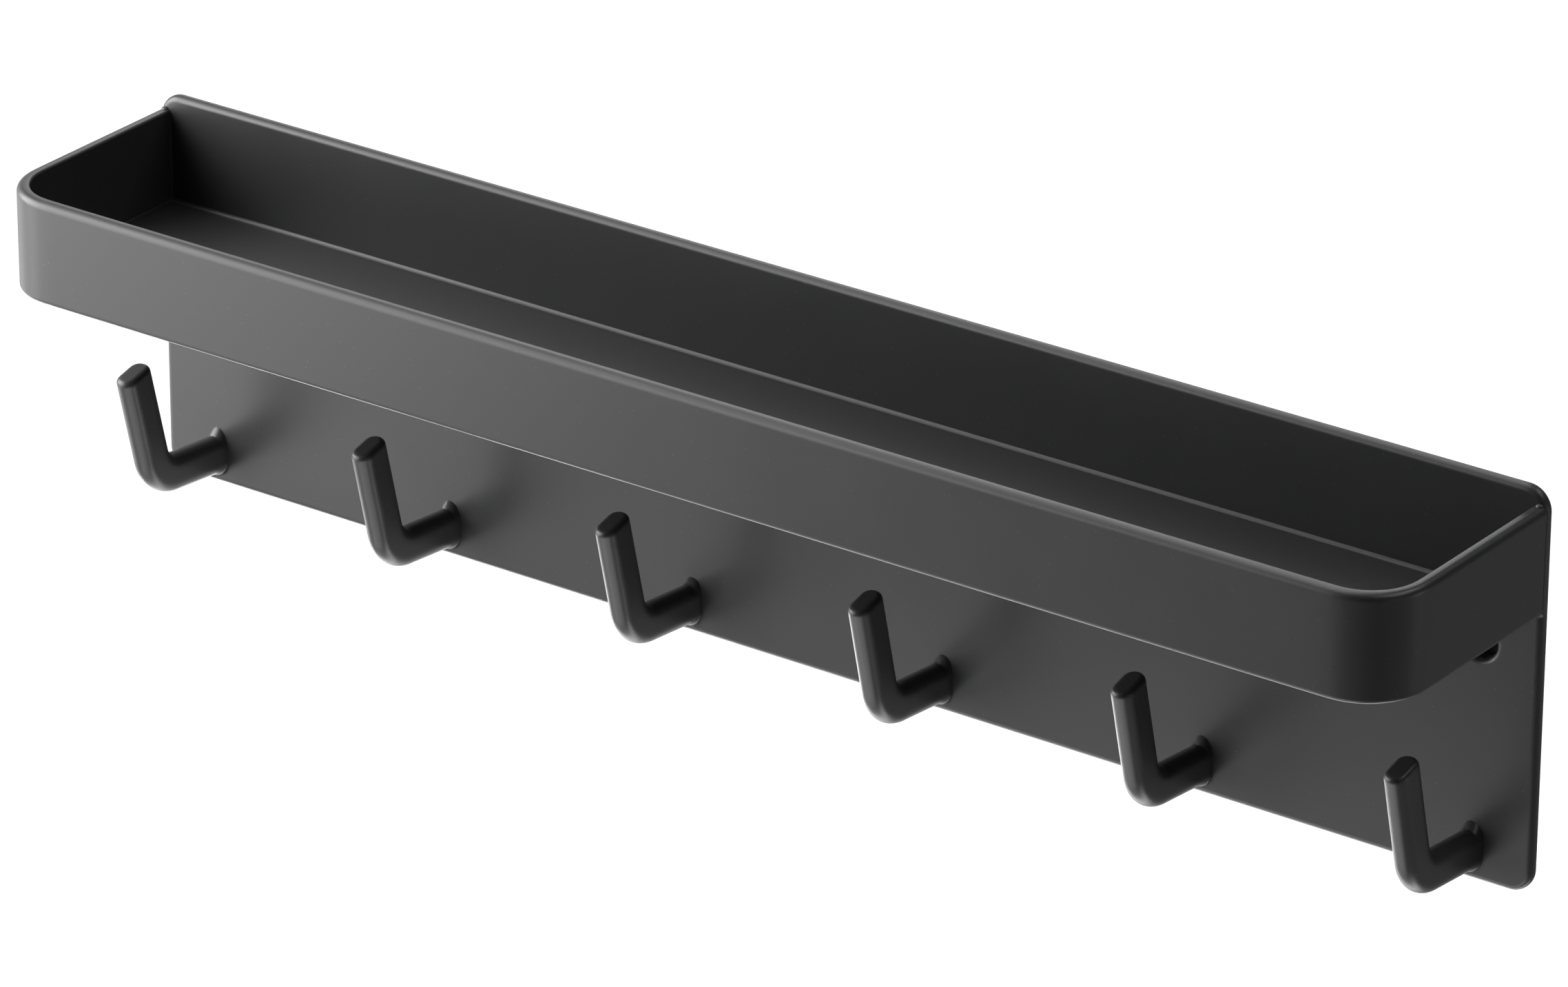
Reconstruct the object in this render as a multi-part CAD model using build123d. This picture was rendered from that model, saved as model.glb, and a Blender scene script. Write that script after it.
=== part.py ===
from build123d import *
import os
from math import cos, radians, sin

# Wall key rack with a shelf: a steel back plate with rounded edges, an open tray above and a row of key hooks.
# Millimetres. X runs along the rack, -Y points into the room and Z is up. The origin lies on the wall,
# midway between the two screw holes.

# Back plate
rack_length = 300
plate_height = 76
plate_thickness = 2.5
plate_top = 31
plate_corner_radius = 4.5

# Screw holes, in line with the outer hooks
hole_radius = 3.75
hole_lip = 0.9
end_inset = 12

# Shelf band and floor
band_height = 20
band_drop = 3
band_reach = 51
band_thickness = 2.5
band_corner_radius = 13
floor_thickness = 2

# Softened sheet edges and the small welds where the pieces meet
edge_radius = 1.1
seam_chamfer = 0.4
weld_size = 0.7
weld_sag = 1.3

# How near an edge has to lie to a plane or a size to count as on it
near = 0.01

# Hooks: flat bar with full-round edges, its leg rising from the plate and its upright leaning outwards
hook_count = 6
bar_width = 4
bar_depth = 7
hook_above_bottom = 6
leg_length = 18.3
leg_rise = 5
upright_length = 24.1
upright_lean = 13
bend_radius = 7
tip_radius = 1.1
root_weld_size = 1.2

# Worked out from the above
plate_bottom = plate_top - plate_height
plate_front = -plate_thickness
band_top = plate_top - band_drop
band_bottom = band_top - band_height
floor_top = band_bottom + floor_thickness
half_length = rack_length / 2
inner_half_length = half_length - band_thickness
hole_x = half_length - end_inset
hook_root_z = plate_bottom + hook_above_bottom
hook_pitch = 2 * hole_x / (hook_count - 1)


def weld_profile():
    """Hollow triangular weld section in its own corner: two equal legs and a face sagging inwards."""
    legs = Polyline((weld_size, 0), (0, 0), (0, weld_size))
    face = RadiusArc((0, weld_size), (weld_size, 0), weld_size * weld_sag)
    return make_face(legs + face)


def back_plate():
    """Flat plate with rounded corners and edges, and two screw holes just under the shelf."""
    middle = Plane.XZ * Pos(0, (plate_top + plate_bottom) / 2)
    plate = extrude(middle * RectangleRounded(rack_length, plate_height, plate_corner_radius), plate_thickness)
    faces = plate.faces().sort_by(Axis.Y)
    plate = fillet(faces[0].edges() + faces[-1].edges(), edge_radius)
    for side in (-1, 1):
        plate += edge_filler(side)
    for side in (-1, 1):
        plate -= extrude(Plane.XZ * Pos(side * hole_x, 0) * Circle(hole_radius), plate_thickness)
    rims = plate.edges().filter_by(GeomType.CIRCLE)
    rims = rims.filter_by(lambda edge: abs(edge.radius - hole_radius) < near)
    return chamfer(rims.filter_by_position(Axis.Y, plate_front - near, plate_front + near), hole_lip)


def edge_filler(side):
    """Square strip that leaves the plate's front edge sharp where the band's end is ground flush with it."""
    height = plate_top - plate_corner_radius - band_bottom
    strip = Box(edge_radius, edge_radius, height, align=(Align.MAX, Align.MIN, Align.MIN))
    strip = Pos(half_length, plate_front, band_bottom) * strip
    return strip if side > 0 else mirror(strip, Plane.YZ)


def band_plan(half_width, reach, corner_radius):
    """Plan of the tray out to one face of its wall: straight back edge, round front corners."""
    depth = reach + plate_front
    area = Pos(0, -reach) * Rectangle(2 * half_width, depth, align=(Align.CENTER, Align.MIN))
    return fillet(area.vertices().sort_by(Axis.Y)[:2], corner_radius)


def inner_plan():
    reach = band_reach - band_thickness
    return band_plan(inner_half_length, reach, band_corner_radius - band_thickness)


def shelf_band():
    """Strip bent round the front of the shelf, its two ends welded to the plate."""
    outer = band_plan(half_length, band_reach, band_corner_radius)
    strip = Pos(0, 0, band_bottom) * extrude(outer - inner_plan(), band_height)
    top = strip.faces().sort_by(Axis.Z)[-1]
    strip = fillet(clear_of_plate(top), edge_radius)
    bottom = strip.faces().sort_by(Axis.Z)[0]
    strip = fillet(clear_of_plate(bottom).filter_by(is_outside), edge_radius)
    for side in (-1, 1):
        strip += end_weld(side)
    return strip


def clear_of_plate(face):
    """The face's edges, without those that lie against the plate."""
    return face.edges().filter_by(lambda edge: edge.center().Y < plate_front - near)


def is_outside(edge):
    """True for an edge on the band's outer face."""
    middle = edge.position_at(0.5)
    reach = band_reach - band_thickness / 2
    return abs(middle.X) > half_length - band_thickness / 2 or middle.Y < -reach


def end_weld(side):
    """Upright weld inside the tray, between the band's end and the plate, from the floor's weld to the rim."""
    profile = Pos(-inner_half_length, plate_front) * Rot(0, 0, -90) * weld_profile()
    foot = floor_top + weld_size
    weld = Pos(0, 0, foot) * extrude(profile, band_top - edge_radius - foot)
    return weld if side < 0 else mirror(weld, Plane.YZ)


def shelf_floor():
    """Flat sheet inside the band, level with its lower edge, with a weld along the plate."""
    sheet = Pos(0, 0, band_bottom) * extrude(inner_plan(), floor_thickness)
    under = sheet.faces().sort_by(Axis.Z)[0]
    sheet = chamfer(clear_of_plate(under), seam_chamfer)
    plane = Plane(origin=(0, plate_front, floor_top), x_dir=(0, -1, 0), z_dir=(-1, 0, 0))
    return sheet + extrude(plane * weld_profile(), inner_half_length, both=True)


def hook():
    """One hook: leg rising from the plate, round bend, upright with a softened square end, weld at the root."""
    rise = radians(leg_rise)
    lean = radians(upright_lean)
    along = (-cos(rise), sin(rise))
    sunk = plate_thickness / 2
    root = (plate_front, hook_root_z)
    start = (root[0] - sunk * along[0], root[1] - sunk * along[1])
    corner = (root[0] + leg_length * along[0], root[1] + leg_length * along[1])
    tip = (corner[0] - upright_length * sin(lean), corner[1] + upright_length * cos(lean))
    path = Plane.YZ * FilletPolyline(start, corner, tip, radius=bend_radius)
    section = Plane(origin=path @ 0, x_dir=(1, 0, 0), z_dir=path % 0)
    bar = sweep(section * SlotOverall(bar_depth, bar_width, rotation=90), path=path)
    end = bar.faces().sort_by(Axis.Z)[-1]
    return root_welded(fillet(end.edges(), tip_radius))


def root_welded(bar):
    """The bar trimmed to the plate's face, with a flat-faced weld all round."""
    slab_size = 3 * bar_depth
    slab = Box(slab_size, plate_thickness, slab_size, align=(Align.CENTER, Align.MIN, Align.CENTER))
    slab = Pos(0, plate_front, hook_root_z) * slab
    joined = slab + bar
    seam = joined.edges().filter_by_position(Axis.Y, plate_front - near, plate_front + near)
    seam = seam.filter_by_position(Axis.X, -bar_depth, bar_depth)
    seam = seam.filter_by_position(Axis.Z, hook_root_z - bar_depth, hook_root_z + bar_depth)
    return chamfer(seam, root_weld_size) - slab


def hooks():
    """The row of hooks, evenly spaced, the outer two straight below the screw holes."""
    one = hook()
    return Compound([place * one for place in GridLocations(hook_pitch, 0, hook_count, 1)])


os.makedirs("parts", exist_ok=True)
export_step(back_plate(), "parts/back_plate.step")
export_step(shelf_band(), "parts/shelf_band.step")
export_step(shelf_floor(), "parts/shelf_floor.step")
export_step(hooks(), "parts/hooks.step")
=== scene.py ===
import math
import bmesh
import bpy
import numpy as np
from mathutils import Matrix, Vector


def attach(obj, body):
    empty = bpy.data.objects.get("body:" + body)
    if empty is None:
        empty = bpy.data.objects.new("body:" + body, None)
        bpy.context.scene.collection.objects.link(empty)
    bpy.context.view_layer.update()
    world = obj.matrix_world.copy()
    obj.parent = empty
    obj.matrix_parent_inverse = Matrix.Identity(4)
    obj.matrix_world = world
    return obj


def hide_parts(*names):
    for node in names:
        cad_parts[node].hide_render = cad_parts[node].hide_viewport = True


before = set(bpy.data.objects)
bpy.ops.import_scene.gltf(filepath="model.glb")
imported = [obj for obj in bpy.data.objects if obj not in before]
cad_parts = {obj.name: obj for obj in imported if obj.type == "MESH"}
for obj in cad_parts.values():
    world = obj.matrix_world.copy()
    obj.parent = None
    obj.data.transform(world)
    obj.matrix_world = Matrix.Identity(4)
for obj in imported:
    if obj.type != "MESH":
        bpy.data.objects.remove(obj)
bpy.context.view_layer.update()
mm = 0.001
print("frame loaded:", ", ".join(sorted(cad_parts)))


# Small tools that the pieces share; all their points are in millimetres

meshSettings = {
    "joinWithin": 2e-6,       # metres; points nearer to each other than this become one
    "slimEdge": 1e-7,         # metres; an edge shorter than this goes
    "sharpFrom": 48,          # degrees between two faces
}


def gridFaces(rows, columns, closedRows=False, closedColumns=False):
    # one quad between each point of the grid and its next row and column, wrapping where a
    # direction is closed
    lastRow, lastColumn = rows - (not closedRows), columns - (not closedColumns)
    row, column = np.meshgrid(np.arange(lastRow), np.arange(lastColumn), indexing="ij")
    nextRow, nextColumn = (row + 1) % rows, (column + 1) % columns
    corners = [
        row * columns + column, row * columns + nextColumn,
        nextRow * columns + nextColumn, nextRow * columns + column,
    ]
    return np.stack(corners, -1).reshape(-1, 4)


def endCaps(rows, columns):
    # the grid's first and last row, each closed with one face
    last = (rows - 1) * columns
    return [list(range(columns)), list(range(last, last + columns))]


def arc(centre, radius, start, end, steps):
    # points on a circle between two angles in degrees
    angle = np.radians(np.linspace(start, end, steps + 1))
    return np.stack([centre[0] + radius * np.cos(angle), centre[1] + radius * np.sin(angle)], -1)


def eased(value):
    # smooth step: three times the square less twice the cube, held between 0 and 1
    value = np.clip(value, 0, 1)
    return value ** 2 * (3 - 2 * value)


def sweep(line, outward, section):
    # the section carried along the line: its first number goes out along the normal, its second
    # is the height
    place = line[:, None, :] + outward[:, None, :] * section[None, :, :1]
    height = np.broadcast_to(section[None, :, 1:], place.shape[:2] + (1,))
    return np.concatenate([place, height], -1)


def hollowWeld(size, overlap, steps):
    # section of a weld in the corner at 0, 0: a leg along each sheet, sunk a little into it, and
    # a quarter circle between them that curves towards the corner
    curve = arc((size, size), size, 180, 270, steps)[1:-1]
    legs = [(-overlap, -overlap), (-overlap, size)]
    return np.concatenate([legs, curve, [(size, -overlap)]])


def makeMesh(name, shells, settings):
    # every shell is its points and its faces; they are joined, and turned outwards once equal
    # points have become one
    points, faces, start = [], [], 0
    for shellPoints, shellFaces in shells:
        points.append(shellPoints.reshape(-1, 3))
        faces += [[int(corner) + start for corner in face] for face in shellFaces]
        start += len(points[-1])
    mesh = bpy.data.meshes.new(name)
    mesh.from_pydata((np.concatenate(points) * mm).tolist(), [], faces)
    solid = bmesh.new()
    solid.from_mesh(mesh)
    bmesh.ops.remove_doubles(solid, verts=solid.verts, dist=settings["joinWithin"])
    bmesh.ops.dissolve_degenerate(solid, edges=solid.edges, dist=settings["slimEdge"])
    bmesh.ops.recalc_face_normals(solid, faces=solid.faces)
    openEdges = sum(len(edge.link_faces) != 2 for edge in solid.edges)
    solid.to_mesh(mesh)
    solid.free()
    mesh.shade_smooth()
    mesh.set_sharp_from_angle(angle=math.radians(settings["sharpFrom"]))
    print(name, len(mesh.polygons), "faces,", openEdges, "open edges")
    return mesh


def addPiece(name, shells, node, material):
    piece = bpy.data.objects.new(name, makeMesh(name, shells, meshSettings))
    bpy.context.scene.collection.objects.link(piece)
    piece.data.materials.append(material)
    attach(piece, "root")
    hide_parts(node)


class Shade:
    # a socket in a node tree; arithmetic on it adds Math nodes, and add() makes any other node
    def __init__(self, tree, socket=None):
        self.tree, self.socket = tree, socket

    def add(self, kind, settings=None, inputs=None, output=0):
        node = self.tree.nodes.new(kind)
        for key, value in (settings or {}).items():
            setattr(node, key, value)
        for key, value in (inputs or {}).items():
            if isinstance(value, Shade):
                self.tree.links.new(value.socket, node.inputs[key])
            else:
                node.inputs[key].default_value = value
        return Shade(self.tree, node.outputs[output]) if len(node.outputs) else None

    def maths(self, operation, first, second=0.0):
        return self.add("ShaderNodeMath", {"operation": operation}, {0: first, 1: second})

    def clipped(self, value):
        return self.maths("MAXIMUM", self.maths("MINIMUM", value, 1.0), 0.0)

    def __add__(self, other): return self.maths("ADD", self, other)
    def __radd__(self, other): return self.maths("ADD", other, self)
    def __sub__(self, other): return self.maths("SUBTRACT", self, other)
    def __rsub__(self, other): return self.maths("SUBTRACT", other, self)
    def __mul__(self, other): return self.maths("MULTIPLY", self, other)
    def __rmul__(self, other): return self.maths("MULTIPLY", other, self)


def emptyMaterial(name):
    material = bpy.data.materials.new(name)
    material.use_nodes = True
    material.node_tree.nodes.clear()
    return material, Shade(material.node_tree)


# The camera stands where the photograph was taken from

cameraSettings = {
    "place": (0.83316, -1.16762, 0.6446),
    "turn": 35.80,          # degrees to the left of straight at the wall
    "tilt": 24.56,          # degrees downwards
    "roll": -0.2526,        # degrees
    "lens": 203.30,
    "sensor": 36,
    "seesTo": 50,           # metres
}


def addCamera(settings):
    # the view's three axes: forward points down by the tilt, and the roll turns the other two
    turn, tilt, roll = (math.radians(settings[key]) for key in ("turn", "tilt", "roll"))
    forward = Vector((
        -math.sin(turn) * math.cos(tilt), math.cos(turn) * math.cos(tilt), -math.sin(tilt)))
    right = Vector((math.cos(turn), math.sin(turn), 0))
    down = forward.cross(right)
    rolledRight = math.cos(roll) * right + math.sin(roll) * down
    rolledDown = math.cos(roll) * down - math.sin(roll) * right
    camera = bpy.data.objects.new("camera", bpy.data.cameras.new("camera"))
    camera.data.sensor_width = settings["sensor"]
    camera.data.lens = settings["lens"]
    camera.data.clip_end = settings["seesTo"]
    axes = Matrix((rolledRight, -rolledDown, -forward)).transposed()
    camera.matrix_world = Matrix.Translation(settings["place"]) @ axes.to_4x4()
    bpy.context.scene.collection.objects.link(camera)
    bpy.context.scene.camera = camera


addCamera(cameraSettings)
print("camera placed")


# One finish: matte powder coat on steel

coatSettings = {
    "colour": (0.0245, 0.0245, 0.0255, 1),
    "lighter": (0.0275, 0.0275, 0.0285, 1),
    "speck": (0.075, 0.075, 0.076, 1),
    "cloudScale": 55, "cloudDetail": 3.0,       # slow change of shade, about 2 cm across
    "grainScale": 1500, "grainDetail": 2.0,     # fine orange peel, about 0.7 mm across
    "dustScale": 5200, "dustDetail": 1.0,       # single powder grains
    "sheetScale": 26, "sheetDetail": 1.0,       # the sheet is never quite flat
    "grainHeight": 0.0000045, "dustHeight": 0.0000012, "sheetHeight": 0.00002,
    "speckScale": 420,                          # a paler grain every two or three millimetres
    "speckSize": 0.07, "speckStrength": 0.5,
    "roughness": 0.38, "roughnessSpread": 0.06,
    "ior": 1.5,
}


def powderCoat(settings):
    # clouds and specks in the colour, clouds and grain in the roughness, and grain, dust and the
    # sheet's own waves in the bump
    material, graph = emptyMaterial("powder_coat")
    place = graph.add("ShaderNodeTexCoord", output="Object")

    def noise(kind):
        return graph.add("ShaderNodeTexNoise", inputs={
            "Vector": place,
            "Scale": settings[kind + "Scale"], "Detail": settings[kind + "Detail"]})

    def mixed(share, first, second):
        inputs = {0: share, 6: first, 7: second}
        return graph.add("ShaderNodeMix", {"data_type": "RGBA"}, inputs, 2)

    cloud, grain, dust, sheet = (noise(kind) for kind in ("cloud", "grain", "dust", "sheet"))
    dots = graph.add("ShaderNodeTexVoronoi", inputs={
        "Vector": place, "Scale": settings["speckScale"]})
    speck = dots.maths("LESS_THAN", dots, settings["speckSize"])
    shaded = mixed(cloud, settings["colour"], settings["lighter"])
    specked = mixed(speck * settings["speckStrength"], shaded, settings["speck"])
    spread = settings["roughnessSpread"]
    roughness = settings["roughness"] + (cloud - 0.5) * spread + (grain - 0.5) * spread
    height = grain * settings["grainHeight"] + dust * settings["dustHeight"]
    height = height + sheet * settings["sheetHeight"]
    bump = graph.add("ShaderNodeBump", inputs={"Strength": 1.0, "Distance": 1.0, "Height": height})
    coat = graph.add("ShaderNodeBsdfPrincipled", inputs={
        "Base Color": specked, "Roughness": roughness, "Normal": bump,
        "Metallic": 0.0, "IOR": settings["ior"]})
    graph.add("ShaderNodeOutputMaterial", inputs={"Surface": coat})
    return material


coat = powderCoat(coatSettings)
print("powder coat ready")


# Back plate with rounded corners and edges, and a hole near each end

plateSettings = {
    "halfLength": 150.0, "top": 31.0, "bottom": -45.0, "thickness": 2.5,
    "cornerRadius": 4.5, "edgeRadius": 1.1,
    "holeX": 138.0, "holeRadius": 3.3, "lipRadius": 1.0,      # as they look with their coat
    # beside the tray the front edge stays square, flush with the band's side
    "flushFrom": 8.0, "flushTo": 26.3, "flushShare": 0.97,
    "flushLead": 0.5, "flushLowEase": 1.0, "flushHighEase": 0.8,
    "flushFromPoints": (-1, 1, 9), "flushToPoints": (-1, 0.15, 7),
    "angleStep": 4.0, "edgeSteps": 8, "cornerSteps": 10,
    # rows this far from each rounding keep the flat faces flat
    "faceRows": (0.15, 0.5), "lipRows": (0.5, 0.12), "boreRow": 0.1, "backRows": (0.1, 0.6),
    "middleWithin": 1e-6,
}


def sideAlong(start, end, centre, step):
    # points on a straight side at equal angles as seen from the hole, so that they reach its rim
    # evenly
    start, end = np.array(start, float), np.array(end, float)
    along = (end - start) / np.linalg.norm(end - start)
    foot = start + along * ((centre - start) @ along)
    reach = np.linalg.norm(foot - centre)
    first, last = (
        math.degrees(math.atan(((point - foot) @ along) / reach)) for point in (start, end))
    steps = max(2, int(math.ceil((last - first) / step)))
    angle = np.radians(np.linspace(first, last, steps + 1))
    return foot + reach * np.tan(angle)[:, None] * along


def straightRun(points, direction):
    # a straight side's points, with the one direction that is outwards for all of them
    return points, np.tile(np.array(direction, float), (len(points), 1))


def cornerRun(pivot, radius, start, end, steps):
    # a round corner's points, without its two ends, which the straight sides have
    points = arc(pivot, radius, start, end, steps)[1:-1]
    return points, (points - np.array(pivot)) / radius


def plateOutline(settings, centre):
    # once round the half: along the bottom, up its end, back along the top and down the middle
    # line, where the outward direction is nothing
    half, top, bottom = (settings[key] for key in ("halfLength", "top", "bottom"))
    corner, steps = settings["cornerRadius"], settings["cornerSteps"]
    step = settings["angleStep"]
    low, high = (half - corner, bottom + corner), (half - corner, top - corner)
    # the end has more points where its edge goes from round to flush and back
    heights = [sideAlong((half, low[1]), (half, high[1]), centre, step)[:, 1]]
    for place in ("flushFrom", "flushTo"):
        heights.append(settings[place] + np.linspace(*settings[place + "Points"]))
    heights = np.unique(np.round(np.concatenate(heights), 4))
    heights = heights[(heights >= low[1]) & (heights <= high[1])]
    runs = [
        straightRun(sideAlong((0, bottom), (low[0], bottom), centre, step), (0, -1)),
        cornerRun(low, corner, -90, 0, steps),
        straightRun(np.stack([np.full(len(heights), half), heights], -1), (1, 0)),
        cornerRun(high, corner, 0, 90, steps),
        straightRun(sideAlong((high[0], top), (0, top), centre, step), (0, 1)),
        straightRun(sideAlong((0, top), (0, bottom), centre, step)[1:-1], (0, 0)),
    ]
    points, outward = zip(*runs)
    return np.concatenate(points), np.concatenate(outward)


def frontRadius(settings, outline, outward):
    # the front edge's radius: full all round, nearly nothing beside the tray, eased at both ends
    atEnd = outward[:, 0] > 0.999
    above = outline[:, 1] - settings["flushFrom"] + settings["flushLead"]
    below = settings["flushTo"] - outline[:, 1]
    beside = atEnd * eased(above / settings["flushLowEase"])
    beside = beside * eased(below / settings["flushHighEase"])
    return settings["edgeRadius"] * (1 - settings["flushShare"] * beside)


def plateRim(settings, outline, outward):
    # rows from the back face round the edge to the front face, each with its distance in from the
    # outline and its depth from the wall; a quarter circle rounds each of the two edges
    def insetRow(inset, depth):
        place = outline - outward * inset[:, None]
        return np.column_stack([place[:, 0], -depth, place[:, 1]])

    back = np.full(len(outline), settings["edgeRadius"])
    front = frontRadius(settings, outline, outward)
    wall, face = np.zeros(len(outline)), np.full(len(outline), settings["thickness"])
    backRows = [insetRow(back + inset, wall) for inset in reversed(settings["faceRows"])]
    frontRows = []
    for angle in np.radians(np.linspace(0, 90, settings["edgeSteps"] + 1)):
        lessSine, lessCosine = 1 - math.sin(angle), 1 - math.cos(angle)
        backRows.append(insetRow(back * lessSine, back * lessCosine))
        frontRows.append(insetRow(front * lessCosine, face - front * lessSine))
    frontRows += [insetRow(front + inset, face) for inset in settings["faceRows"]]
    rim = np.stack(backRows + frontRows)
    # on the middle line there is no edge: the rows lie on the back or the front face
    middle = (outward == 0).all(1)
    rim[:len(backRows), middle, 1] = 0.0
    rim[len(backRows):, middle, 1] = -settings["thickness"]
    return rim


def holeRings(settings, outline, centre):
    # rings from the front face over the rounded lip, through the hole and out on the back face;
    # each ring's points lie in the directions of the outline's points
    bearing = np.arctan2(outline[:, 1] - centre[1], outline[:, 0] - centre[0])

    def ring(radius, depth):
        x, z = centre[0] + radius * np.cos(bearing), centre[1] + radius * np.sin(bearing)
        return np.column_stack([x, np.full(len(bearing), -depth), z])

    hole, lip, thick = (settings[key] for key in ("holeRadius", "lipRadius", "thickness"))
    near = settings["boreRow"]
    rings = [ring(hole + lip + outside, thick) for outside in settings["lipRows"]]
    for angle in np.radians(np.linspace(0, 90, settings["edgeSteps"] + 1)):
        rings.append(ring(hole + lip * (1 - math.sin(angle)), thick - lip * (1 - math.cos(angle))))
    rings += [ring(hole, depth) for depth in (thick - lip - near, near, 0.0)]
    rings += [ring(hole + outside, 0.0) for outside in settings["backRows"]]
    return np.stack(rings)


def plateShells(settings):
    # the half round one hole as a closed tube: its loop runs round the half's outline, and its
    # rows from the back face round the edge, over the front and through the hole; the other half
    # mirrors it
    centre = np.array([settings["holeX"], 0.0])
    outline, outward = plateOutline(settings, centre)
    rim = plateRim(settings, outline, outward)
    surface = np.concatenate([rim, holeRings(settings, outline, centre)])
    faces = gridFaces(len(surface), len(outline), closedRows=True, closedColumns=True)
    # the wall that the two halves would share at the middle is left out
    rowOf, columnOf = faces // len(outline), faces % len(outline)
    onMiddle = outline[:, 0] < settings["middleWithin"]
    shared = onMiddle[columnOf].all(1) & (rowOf < len(rim)).all(1)
    faces = faces[~shared]
    return [(surface, faces), (surface * np.array([-1, 1, 1]), faces[:, ::-1])]


addPiece("plate_coated", plateShells(plateSettings), "back_plate", coat)


# Strip bent round the front of the shelf

bandSettings = {
    "halfLength": 150.0, "reach": 51.0, "thickness": 2.5,
    # the bend takes this much of each side, and its curve sets in over a fifth of its length
    "cornerReach": 14.2, "cornerEase": 0.2,
    "top": 28.0, "bottom": 8.0, "plateFront": -2.5, "sunk": 0.15,
    "outerRadius": 1.3, "innerRadius": 0.5, "lowerRadius": 0.9,
    "nearEdge": 0.2,          # a row this far from each rounding keeps the faces flat
    "cornerSteps": 28, "edgeSteps": 8, "sideSteps": 8, "frontSteps": 40, "curveSamples": 801,
    "weldSize": 0.4, "weldOverlap": 0.1, "weldSteps": 6, "floorTop": 10.0,
    # the bead at each end of the rim
    "knobRadii": (0.75, 0.6, 0.6), "knobIn": 1.35, "knobDown": 0.15, "knobOut": 0.1,
    "knobSteps": 14,
}


def easedCorner(settings):
    # a quarter turn from down to right whose curve grows and fades over its ends: its points from
    # 0 to the reach, and its turn in degrees; the heading is the running sum of the curve, the
    # place the running sum of the heading
    along = np.linspace(0, 1, settings["curveSamples"])
    curve = np.clip(np.minimum(along, 1 - along) / settings["cornerEase"], 0, 1)
    turn = np.cumsum(curve) - curve / 2
    turn = 90 * (turn - turn[0]) / (turn[-1] - turn[0])
    heading = np.radians(turn - 90)
    place = np.cumsum(np.stack([np.cos(heading), np.sin(heading)], -1), axis=0)
    place = (place - place[0]) / (place[-1, 0] - place[0, 0]) * settings["cornerReach"]
    wanted = np.linspace(0, 90, settings["cornerSteps"] + 1)
    return np.stack([np.interp(wanted, turn, place[:, axis]) for axis in (0, 1)], -1), wanted


def trayLine(back, settings):
    # the tray's plan from one end on the plate, round both front corners, to the other: points and
    # outward normals
    half, reach, corner = (settings[key] for key in ("halfLength", "reach", "cornerReach"))
    sideSteps, frontSteps = settings["sideSteps"], settings["frontSteps"]
    left = np.column_stack([
        np.full(sideSteps, -half), np.linspace(back, corner - reach, sideSteps + 1)[:-1]])
    bend, turn = easedCorner(settings)
    bend = bend + np.array([-half, corner - reach])
    front = np.column_stack([
        np.linspace(corner - half, half - corner, frontSteps + 1)[1:-1],
        np.full(frontSteps - 1, -reach)])
    mirrored = np.array([-1, 1])
    line = np.concatenate([left, bend, front, bend[::-1] * mirrored, left[::-1] * mirrored])
    angle = np.radians(np.concatenate([
        np.full(len(left), 180.0), 180 + turn, np.full(len(front), 270.0), 270 + turn,
        np.full(len(left), 360.0)]))
    return line, np.stack([np.cos(angle), np.sin(angle)], -1)


def bandSection(settings):
    # closed outline of the strip: distance out from its outer face, and height
    outer, inner, lower, near = (
        settings[key] for key in ("outerRadius", "innerRadius", "lowerRadius", "nearEdge"))
    thick, top, bottom, steps = (
        settings[key] for key in ("thickness", "top", "bottom", "edgeSteps"))
    return np.concatenate([
        [(0.0, bottom + lower + near), (0.0, top - outer - near)],
        arc((-outer, top - outer), outer, 0, 90, steps),
        arc((inner - thick, top - inner), inner, 90, 180, steps),
        [(-thick, top - inner - near), (-thick, bottom)],
        arc((-lower, bottom + lower), lower, 270, 360, steps),
    ])


def endWeld(settings):
    # hollow weld between the band's end and the plate, carried up the inner corner
    overlap = settings["weldOverlap"]
    inner = settings["halfLength"] - settings["thickness"]
    outline = hollowWeld(settings["weldSize"], overlap, settings["weldSteps"])
    heights = np.array([settings["floorTop"] - overlap, settings["top"] - settings["innerRadius"]])
    points = np.zeros((len(heights), len(outline), 3))
    points[..., 0] = inner - outline[:, 0]
    points[..., 1] = settings["plateFront"] - outline[:, 1]
    points[..., 2] = heights[:, None]
    faces = gridFaces(len(heights), len(outline), closedColumns=True).tolist()
    return points, faces + endCaps(len(heights), len(outline))


def knob(centre, radii, steps):
    # ellipsoid: each radius times the sine and cosine of its two angles
    across, around = np.meshgrid(
        np.linspace(0, math.pi, steps + 1),
        np.linspace(0, 2 * math.pi, 2 * steps, endpoint=False), indexing="ij")
    shape = np.stack([
        np.sin(across) * np.cos(around), np.sin(across) * np.sin(around), np.cos(across)], -1)
    faces = gridFaces(steps + 1, 2 * steps, closedColumns=True)
    return np.array(centre) + shape * np.array(radii), faces


def bandShells(settings):
    line, outward = trayLine(settings["plateFront"] + settings["sunk"], settings)
    section = bandSection(settings)
    faces = gridFaces(len(line), len(section), closedColumns=True).tolist()
    shells = [(sweep(line, outward, section), faces + endCaps(len(line), len(section)))]
    weldPoints, weldFaces = endWeld(settings)
    knobX = settings["halfLength"] - settings["knobIn"]
    knobY = settings["plateFront"] - settings["knobOut"]
    knobZ = settings["top"] - settings["knobDown"]
    for side in (1, -1):
        shells.append((weldPoints * np.array([side, 1, 1]), weldFaces))
        centre = (side * knobX, knobY, knobZ)
        shells.append(knob(centre, settings["knobRadii"], settings["knobSteps"]))
    return shells


addPiece("band_coated", bandShells(bandSettings), "shelf_band", coat)


# Floor of the shelf

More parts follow.
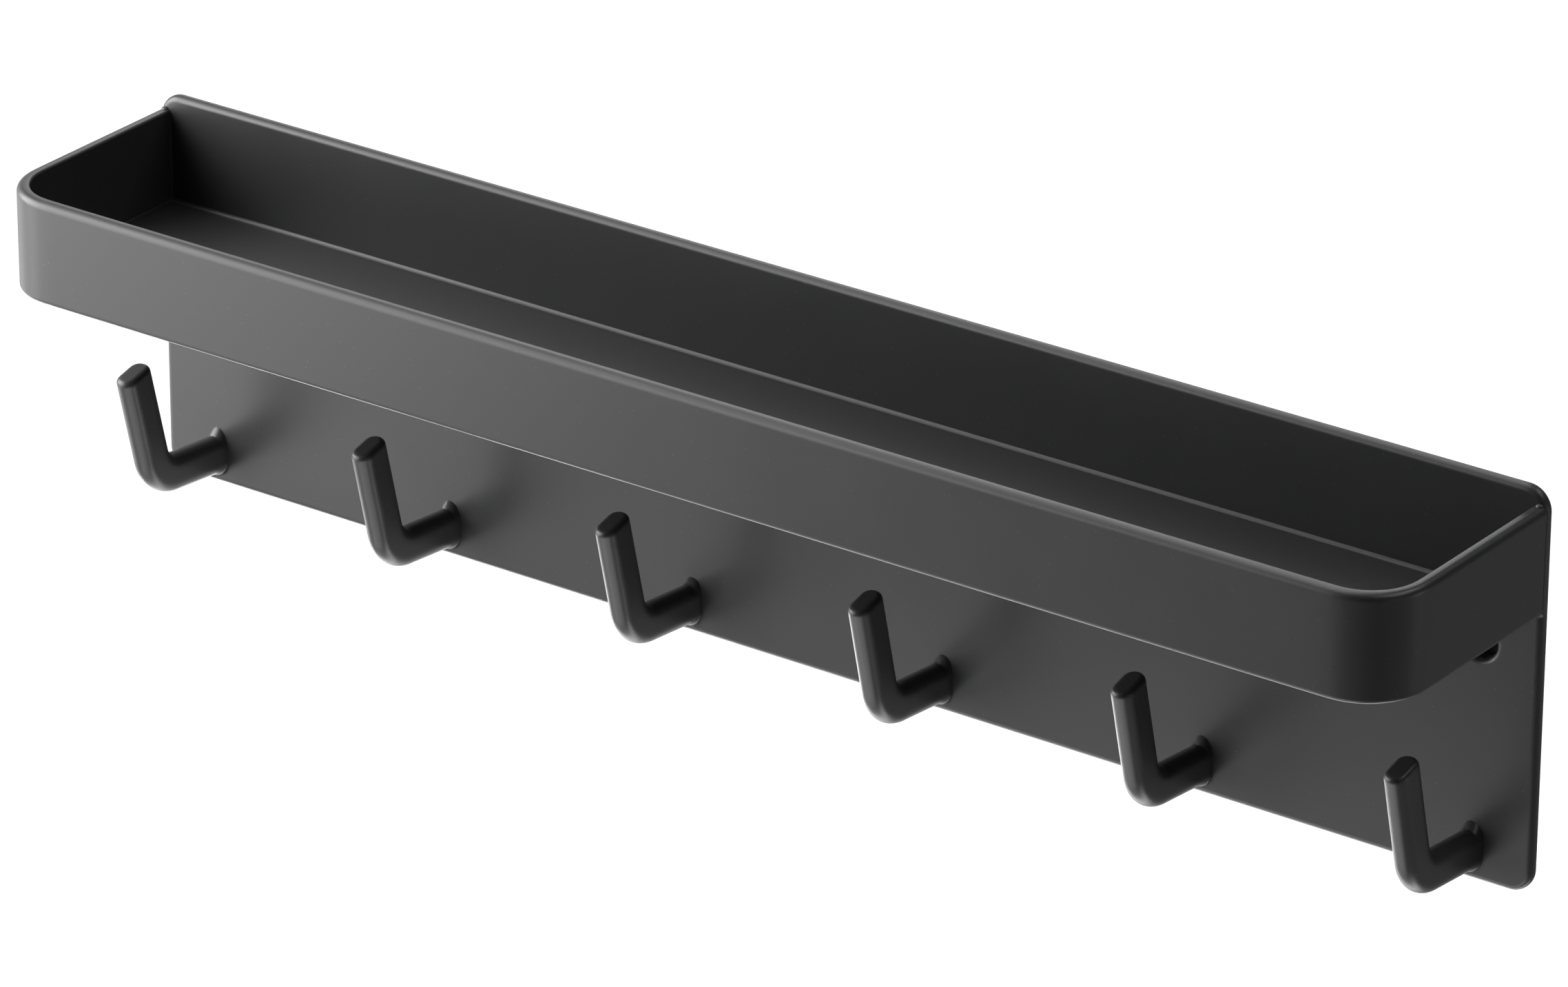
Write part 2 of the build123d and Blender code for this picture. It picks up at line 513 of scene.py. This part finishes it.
floorSettings = {
    "halfLength": 147.5, "plateFront": -2.5, "top": 10.0, "bottom": 8.0,
    "seam": 0.4,              # bevel under the floor, where it meets the band
    "fillet": 0.3,            # hollow in the corner above it
    "intoBand": 0.05, "underRow": 0.5, "seamRow": 0.1, "topRow": 0.3,
    "filletSteps": 5, "backPoints": 12,
    "weldSize": 0.7, "weldOverlap": 0.1, "weldSteps": 6, "weldPoints": 60,
}


def sheetShell(settings, band):
    # the sheet's section, from under the middle round the seam and up into the corner, carried
    # round the band's inner face and along the plate
    line, outward = trayLine(settings["plateFront"], band)
    line = line - outward * band["thickness"]
    outward[0], outward[-1] = (-1, 1), (1, 1)      # mitred at the two back corners
    top, bottom, seam, fillet = (settings[key] for key in ("top", "bottom", "seam", "fillet"))
    section = np.concatenate([
        [(-seam - settings["underRow"], bottom), (-seam, bottom), (0.0, bottom + seam),
         (settings["intoBand"], bottom + seam + settings["seamRow"]),
         (settings["intoBand"], top + fillet)],
        arc((-fillet, top + fillet), fillet, 0, -90, settings["filletSteps"]),
        [(-fillet - settings["topRow"], top)],
    ])
    half = settings["halfLength"]
    back = np.linspace(half, -half, settings["backPoints"])[1:-1]
    backLine = np.column_stack([back, np.full(len(back), settings["plateFront"])])
    line = np.concatenate([line, backLine])
    outward = np.concatenate([outward, np.tile((0.0, 1.0), (len(back), 1))])
    faces = gridFaces(len(line), len(section), closedRows=True).tolist()
    # one face closes the underside and one the top
    under = [index * len(section) for index in range(len(line))]
    faces += [under, [corner + len(section) - 1 for corner in under]]
    return sweep(line, outward, section), faces


def plateWeld(settings):
    # hollow weld along the plate, from one end of the shelf to the other
    outline = hollowWeld(settings["weldSize"], settings["weldOverlap"], settings["weldSteps"])
    reach = settings["halfLength"] + settings["intoBand"]
    ends = np.linspace(-reach, reach, settings["weldPoints"])
    points = np.zeros((len(ends), len(outline), 3))
    points[..., 0] = ends[:, None]
    points[..., 1] = settings["plateFront"] - outline[:, 0]
    points[..., 2] = settings["top"] + outline[:, 1]
    faces = gridFaces(len(ends), len(outline), closedColumns=True).tolist()
    return points, faces + endCaps(len(ends), len(outline))


floorShells = [sheetShell(floorSettings, bandSettings), plateWeld(floorSettings)]
addPiece("floor_coated", floorShells, "shelf_floor", coat)


# Six hooks bent from flat bar

hookSettings = {
    "count": 6, "firstX": -138.0, "pitch": 55.2, "rootY": -2.5, "rootZ": -39.0,
    "barWidth": 4.4, "barDepth": 7.5, "legLength": 18.3, "legRise": 5.0,
    "uprightLength": 24.1, "uprightLean": 13.9, "bendRadius": 7.0,
    "tipRadius": 1.1, "tipRow": 0.12,
    "sunk": 0.6,              # how far the bar starts behind the plate's face
    # the weld at the root: how far it stands out from the bar, how far it runs along it, and how
    # much it wavers round the bar, in how many waves, each hook's shifted against the last one's
    "weldTop": 1.8, "weldBottom": 0.9, "weldSides": 0.12, "weldLength": 1.9, "weldSunk": 0.012,
    "weldUneven": 0.12, "weldWaves": 3, "weldShift": 1.7,
    "heapPower": 4,           # the higher, the nearer the heaps keep to the bar's top and bottom
    "roundFrom": 2,           # the higher, the nearer to the bar's sides the round heap starts
    "skewEnd": 0.5,           # share of the leg after which the rows stand square to the bar
    "pastWeld": 0.3, "besideBend": 0.2, "beforeTip": 0.3,     # rows that keep the runs straight
    "bendSteps": 30, "roundSteps": 16, "flatPoints": 6, "edgeSteps": 8, "weldSteps": 12,
}


def barSection(settings):
    # flat bar with full-round edges: each point is a place on the bar's middle line plus a radius
    # in one direction
    half = (settings["barDepth"] - settings["barWidth"]) / 2
    angle = np.radians(np.linspace(0, 180, settings["roundSteps"] + 1))
    flat = np.linspace(half, -half, settings["flatPoints"])[1:-1]
    spine = np.concatenate([np.full(len(angle), half), flat, np.full(len(angle), -half), -flat])
    direction = np.concatenate([
        angle, np.full(len(flat), math.pi), angle + math.pi, np.full(len(flat), 2 * math.pi)])
    return spine, direction


def hookSizes(settings):
    # how far the bar turns at its bend, and how long the straight leg, the bend and the straight
    # upright are
    legTurn = math.pi - math.radians(settings["legRise"])
    turn = legTurn - (math.pi / 2 + math.radians(settings["uprightLean"]))
    cut = settings["bendRadius"] * math.tan(turn / 2)
    leg, bend = settings["legLength"] - cut, settings["bendRadius"] * turn
    return legTurn, leg, bend, settings["uprightLength"] - cut


def hookLine(settings, place):
    # the bar's centre line in the plane across the rack: leg, round bend, upright; place is the
    # length from the plate
    legTurn, leg, bend = hookSizes(settings)[:3]
    radius = settings["bendRadius"]
    heading = legTurn - np.clip(place - leg, 0, bend) / radius
    legEnd = np.array([
        settings["rootY"] + leg * math.cos(legTurn), settings["rootZ"] + leg * math.sin(legTurn)])
    bendCentre = legEnd + radius * np.array([math.sin(legTurn), -math.cos(legTurn)])
    onBend = bendCentre + radius * np.stack([-np.sin(heading), np.cos(heading)], -1)
    straight = np.where(place < leg, place - leg, np.maximum(place - leg - bend, 0))
    line = onBend + straight[:, None] * np.stack([np.cos(heading), np.sin(heading)], -1)
    return line, heading


def hookRows(settings):
    # rows along the bar: each one's place, its radius, and its share of a hollow weld, a quarter
    # circle that curves in towards the plate, and of a round one, a quarter wave; at the tip the
    # radius rounds over and closes
    leg, bend, upright = hookSizes(settings)[1:]
    length = leg + bend + upright
    radius, tip, weld = settings["barWidth"] / 2, settings["tipRadius"], settings["weldLength"]
    sunk, beside = settings["sunk"], settings["besideBend"]
    hollow = np.radians(np.linspace(0, 90, settings["weldSteps"] + 1))
    quarter = np.radians(np.linspace(0, 90, settings["edgeSteps"] + 1))
    place = np.concatenate([
        [-sunk, -sunk],
        weld * (1 - np.cos(hollow)) - settings["weldSunk"],
        [weld + settings["pastWeld"], leg * settings["skewEnd"], leg - beside],
        leg + bend * np.linspace(0, 1, settings["bendSteps"] + 1),
        [leg + bend + beside, (leg + bend + length) / 2, length - tip - settings["beforeTip"]],
        length - tip + tip * np.sin(quarter),
        [length, length],
    ])
    size = np.concatenate([
        [0, radius], np.full(len(place) - len(quarter) - 4, radius),
        radius - tip + tip * np.cos(quarter), [radius - tip - settings["tipRow"], 0]])
    bare = np.zeros(len(place) - len(hollow) - 2)
    hollowShare = np.concatenate([[0, 1], 1 - np.sin(hollow), bare])
    roundShare = np.concatenate([[0, 1], np.cos(math.pi / 2 * (1 - np.cos(hollow))), bare])
    return place, size, hollowShare, roundShare


def rootBead(settings, direction, shift):
    # how far the weld stands out in each direction round the bar: heaped above and below it, nearly
    # flush at its sides and slightly uneven; in the bar's own axes its upper side is minus
    heap = np.where(np.sin(direction) < 0, settings["weldTop"], settings["weldBottom"])
    heap = heap - settings["weldSides"]
    bead = settings["weldSides"] + heap * np.sin(direction) ** settings["heapPower"]
    waves = np.sin(settings["weldWaves"] * direction + shift)
    return bead * (1 + settings["weldUneven"] * waves)


def oneHook(settings, shift):
    # the bar's section carried along its line, with the weld added at the root: the heap above the
    # bar is round, the rest of the weld hollow
    place, size, hollowShare, roundShare = hookRows(settings)
    spine, direction = barSection(settings)
    line, heading = hookLine(settings, place)
    above = np.clip(-settings["roundFrom"] * np.sin(direction), 0, 1)[None, :]
    flare = hollowShare[:, None] * (1 - above) + roundShare[:, None] * above
    reach = size[:, None] + flare * rootBead(settings, direction, shift)[None, :]
    sideways = reach * np.cos(direction)
    across = spine[None, :] + reach * np.sin(direction)[None, :]
    # near the plate the rows lean until they are parallel to its face
    leanEnd = hookSizes(settings)[1] * settings["skewEnd"]
    leaning = np.clip(1 - place / leanEnd, 0, 1)[:, None]
    skew = np.tan(math.radians(settings["legRise"])) * across * leaning
    sine, cosine = np.sin(heading)[:, None], np.cos(heading)[:, None]
    y = line[:, :1] - sine * across + cosine * skew
    z = line[:, 1:] + cosine * across + sine * skew
    points = np.stack([sideways, y, z], -1)
    return points, gridFaces(len(place), len(spine), closedColumns=True)


def hookShells(settings):
    shells = []
    for number in range(settings["count"]):
        points, faces = oneHook(settings, settings["weldShift"] * number)
        place = np.array([settings["firstX"] + settings["pitch"] * number, 0, 0])
        shells.append((points + place, faces))
    return shells


addPiece("hooks_coated", hookShells(hookSettings), "hooks", coat)


# Stage: pale floor, white surroundings, soft lamps; sizes in metres

stageSettings = {
    "floorHeight": -0.30, "floorSize": 6.0, "floorColour": (0.4, 0.4, 0.4, 1),
    "floorDeep": 0.12,        # how much darker than white the floor may get in the rack's shadow
    "floorNear": 0.9,         # the shadow's share fades out to this distance
    "whiteSide": (-0.55, 0.75, -0.35),      # gloss mirrors white from behind and left of the rack
    "whiteFrom": 0.58, "whiteRise": 8,      # how near to there it starts, and how fast it rises
    "worldLight": 0.05,
    "lamps": [
        # place, width, height, watts; all are aimed at the rack's middle
        # high up, over the rack and behind it
        ((-0.45, 0.0, 1.1), 0.8, 0.8, 4.3),
        ((-0.4, 0.5, 0.9), 0.4, 0.3, 1.6),
        ((0.5, 0.5, 0.9), 0.4, 0.3, 1.5),
        ((-0.7, 1.0, 0.55), 0.5, 0.3, 1.4),
        # near and to the left, beside the rack and in front of it
        ((-0.38, -0.15, 0.1), 0.25, 0.25, 1.9),
        ((-0.35, -0.45, 0.05), 0.3, 0.3, 1.1),
        ((-0.5, -0.1, 0.3), 0.4, 0.4, 0.7),
        ((-0.4, -0.3, 0.45), 0.25, 0.25, 0.9),
        ((-0.4, -0.57, 0.3), 0.2, 0.2, 0.75),
        # low down
        ((-0.45, -0.35, -0.12), 0.35, 0.25, 0.76),
        ((-0.45, -0.1, -0.28), 0.4, 0.4, 0.8),
        ((-0.3, 0.15, -0.27), 0.3, 0.1, 0.5),
        ((0.0, 0.03, -0.27), 0.5, 0.08, 0.6),
        ((0.0, -0.2, -0.26), 0.4, 0.1, 0.4),
        # to the right
        ((0.5, 0.0, 0.7), 0.4, 0.4, 1.0),
        ((0.9, 0.35, -0.1), 0.3, 0.3, 0.45),
        ((1.2, -0.3, 0.0), 0.6, 0.4, 0.4),
    ],
    # near-black colour of the discs behind the screw holes: painted shade
    "paintedShadeColour": (0.03, 0.03, 0.03, 1), "shadeDiscRadius": 0.004, "shadeDiscGap": 0.0006,
    "shadeDiscPoints": 48,
}


def flatPiece(name, points, faces, material):
    mesh = bpy.data.meshes.new(name)
    mesh.from_pydata(points.reshape(-1, 3).tolist(), [], faces)
    piece = bpy.data.objects.new(name, mesh)
    bpy.context.scene.collection.objects.link(piece)
    mesh.materials.append(material)


def whiteSeen(graph, direction, settings):
    # 1 for what the camera sees; for reflections and glass, more the nearer the direction is to
    # the white side
    towards = graph.add(
        "ShaderNodeVectorMath", {"operation": "DOT_PRODUCT"},
        {0: direction, 1: settings["whiteSide"]}, "Value")
    share = graph.clipped((towards - settings["whiteFrom"]) * settings["whiteRise"])
    camera, glossy, through = (
        graph.add("ShaderNodeLightPath", output=name)
        for name in ("Is Camera Ray", "Is Glossy Ray", "Is Transmission Ray"))
    return camera + (glossy + through) * share


def addFloor(settings):
    # a square at floor height: paper that takes the rack's shadow, plus a glow that brings it up
    # to white
    side = np.linspace(-settings["floorSize"], settings["floorSize"], 3)
    across, along = np.meshgrid(side, side, indexing="ij")
    points = np.stack([across, along, np.full_like(across, settings["floorHeight"])], -1)
    material, graph = emptyMaterial("floor")
    place = graph.add("ShaderNodeTexCoord", output="Object")
    x, y = (graph.add("ShaderNodeSeparateXYZ", inputs={0: place}, output=axis) for axis in "XY")
    near = graph.clipped(1 - (x * x + y * y) * (1 / settings["floorNear"] ** 2))
    direction = graph.add(
        "ShaderNodeVectorMath", {"operation": "NORMALIZE"}, {0: place}, "Vector")
    white = whiteSeen(graph, direction, settings)
    strength = white * (1 - near * settings["floorDeep"])
    paper = graph.add("ShaderNodeBsdfDiffuse", inputs={"Color": settings["floorColour"]})
    glow = graph.add("ShaderNodeEmission", inputs={"Strength": strength})
    both = graph.add("ShaderNodeAddShader", inputs={0: paper, 1: glow})
    graph.add("ShaderNodeOutputMaterial", inputs={"Surface": both})
    flatPiece("floor", points, gridFaces(len(side), len(side))[:, ::-1].tolist(), material)


def addPaintedShadeDiscs(settings, holeX):
    # a near-black disc just behind each screw hole, unseen from its back: painted shade standing
    # for the wall in the rack's shadow, as far as the holes show it
    count, radius = settings["shadeDiscPoints"], settings["shadeDiscRadius"]
    angle = np.linspace(0, 2 * math.pi, count, endpoint=False)
    # near-black diffuse from the front, which is painted shade; clear from behind
    material, graph = emptyMaterial("wall")
    back = graph.add("ShaderNodeNewGeometry", output="Backfacing")
    wall = graph.add("ShaderNodeBsdfDiffuse", inputs={"Color": settings["paintedShadeColour"]})
    clear = graph.add("ShaderNodeBsdfTransparent")
    mixed = graph.add("ShaderNodeMixShader", inputs={0: back, 1: wall, 2: clear})
    graph.add("ShaderNodeOutputMaterial", inputs={"Surface": mixed})
    for side, name in ((-1, "painted_shade_disc_left"), (1, "painted_shade_disc_right")):
        x, z = side * holeX * mm + radius * np.cos(angle), radius * np.sin(angle)
        ring = np.stack([x, np.full(count, settings["shadeDiscGap"]), z], -1)
        flatPiece(name, ring, [list(range(count))], material)


def addLamp(number, place, width, height, watts):
    light = bpy.data.lights.new(f"lamp_{number}", "AREA")
    light.shape, light.size, light.size_y, light.energy = "RECTANGLE", width, height, watts
    lamp = bpy.data.objects.new(f"lamp_{number}", light)
    aimed = (-Vector(place)).to_track_quat("-Z", "Y").to_matrix().to_4x4()
    lamp.matrix_world = Matrix.Translation(place) @ aimed
    lamp.visible_camera = False
    bpy.context.scene.collection.objects.link(lamp)


def addWorld(settings):
    world = bpy.data.worlds.new("studio")
    bpy.context.scene.world = world
    world.use_nodes = True
    world.node_tree.nodes.clear()
    graph = Shade(world.node_tree)
    white = whiteSeen(graph, graph.add("ShaderNodeTexCoord", output="Generated"), settings)
    strength = white * (1 - settings["worldLight"]) + settings["worldLight"]
    sky = graph.add("ShaderNodeBackground", inputs={"Strength": strength})
    graph.add("ShaderNodeOutputWorld", inputs={"Surface": sky})


addFloor(stageSettings)
addPaintedShadeDiscs(stageSettings, plateSettings["holeX"])
for number, lamp in enumerate(stageSettings["lamps"]):
    addLamp(number, *lamp)
addWorld(stageSettings)
bpy.context.scene.view_settings.view_transform = "Standard"
print("stage ready")
